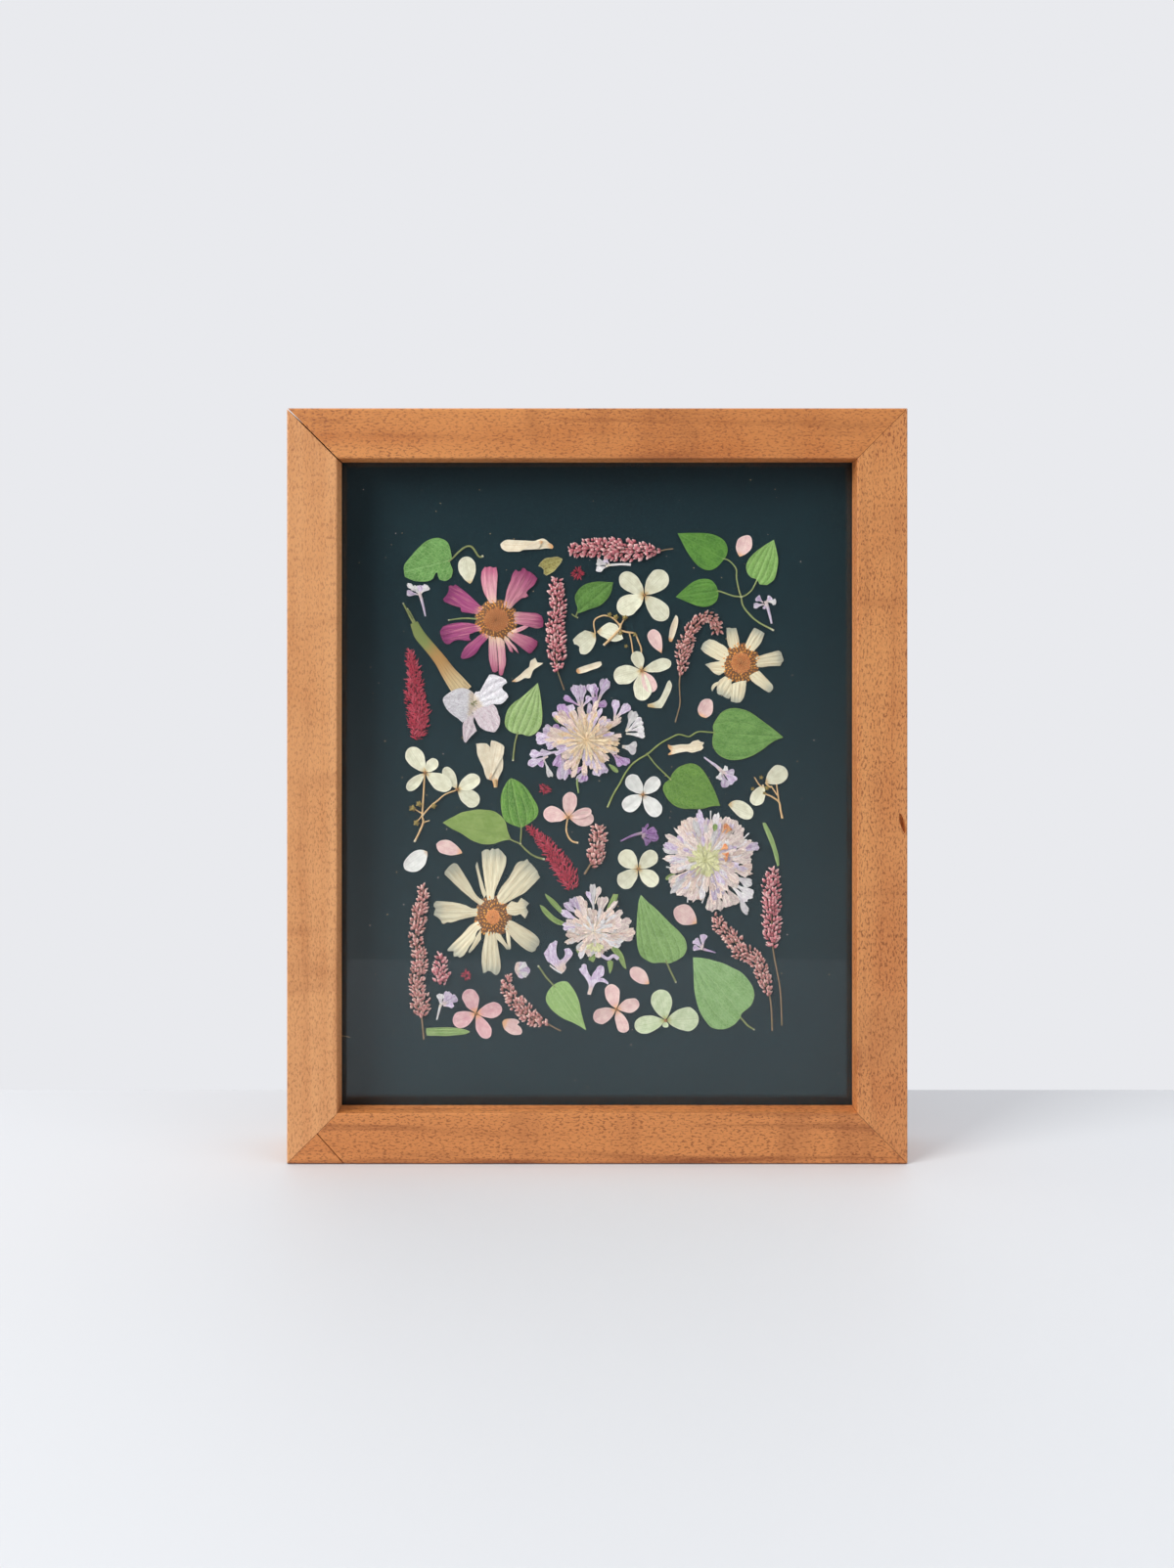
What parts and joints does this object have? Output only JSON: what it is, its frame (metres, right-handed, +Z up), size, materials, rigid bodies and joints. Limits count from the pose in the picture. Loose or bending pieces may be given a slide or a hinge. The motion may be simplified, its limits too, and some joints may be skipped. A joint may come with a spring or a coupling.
{
  "type": "pressed flower frame",
  "caption": "Upright stained wood frame with mitred corners, holding pressed leaves, petals and flower heads flat on a near-black card behind glass.",
  "frame": {"origin": "on the underside of the bottom rail, at the middle of the frame's width and of its depth", "axes": "+Z up the frame as it hangs, -Y out of the glass towards the viewer, +X to the viewer's right"},
  "size_m": [0.234, 0.033, 0.2848],
  "materials": {
    "wood": "satin, stained orange-brown",
    "glass": "clear, polished",
    "card": "matt, near-black",
    "hardboard": "matt, brown pressed fibre",
    "steel": "satin",
    "brassed_steel": "satin",
    "green_leaf": "matt, dried leaf",
    "pale_leaf": "matt, dried leaf",
    "sepal_green": "matt, dried leaf",
    "cream_petal": "matt, dried petal",
    "greenish_petal": "matt, dried petal",
    "white_petal": "matt, dried petal",
    "lilac_petal": "matt, dried petal",
    "pale_lilac_petal": "matt, dried petal",
    "rose_petal": "matt, dried petal",
    "pale_rose_petal": "matt, dried petal",
    "magenta_petal": "matt, dried petal",
    "crimson_flower": "matt, dried flower"
  },
  "bodies": {
    "root": {"backing_board": "hardboard", "backing_card": "card", "bud_cluster": "rose_petal", "clematis_sprig": "green_leaf", "cosmos_cream_large": "cream_petal", "cosmos_cream_small": "cream_petal", "cosmos_pink": "magenta_petal", "cream_sliver": "cream_petal", "folded_cream_bud": "cream_petal", "glass_pane": "glass", "hydrangea_cream_low": "cream_petal", "hydrangea_cream_top": "cream_petal", "hydrangea_green_low": "greenish_petal", "hydrangea_pair_left": "cream_petal", "hydrangea_pink_low_left": "rose_petal", "hydrangea_pink_low_middle": "pale_rose_petal", "hydrangea_pink_with_stalk": "pale_rose_petal", "hydrangea_sprig_right": "cream_petal", "hydrangea_sprig_top": "cream_petal", "hydrangea_white_middle": "white_petal", "leaf_big": "pale_leaf", "leaf_heart": "green_leaf", "leaf_low_right": "pale_leaf", "leaf_middle_left": "pale_leaf", "leaf_pair_left": "green_leaf", "leaf_pair_right": "green_leaf", "leaf_sliver_right": "sepal_green", "leaf_small_bottom": "pale_leaf", "leaf_small_top": "green_leaf", "leaf_strip_bottom": "sepal_green", "petal_cream_left": "cream_petal", "petal_cream_right": "cream_petal", "petal_long_top": "cream_petal", "petal_oval_top": "cream_petal", "petal_pink_left": "pale_rose_petal", "rail_bottom": "wood", "rail_left": "wood", "rail_right": "wood", "rail_top": "wood", "retaining_point_bottom": "steel", "retaining_point_left_high": "steel", "retaining_point_left_low": "steel", "retaining_point_right_high": "steel", "retaining_point_right_low": "steel", "retaining_point_top": "steel", "sawtooth_hanger": "brassed_steel", "scabious_lilac": "lilac_petal", "scabious_pale": "pale_lilac_petal", "scabious_small": "pale_lilac_petal", "spike_bottom": "pale_rose_petal", "spike_left": "pale_rose_petal", "spike_pink_centre": "rose_petal", "spike_pink_curved": "rose_petal", "spike_pink_top": "rose_petal", "spike_red_left": "crimson_flower", "spike_red_middle": "crimson_flower", "spike_right": "rose_petal", "spike_right_low": "pale_rose_petal", "spike_tip_middle": "rose_petal", "white_flower_with_tube": "white_petal"}
  },
  "joints": []
}
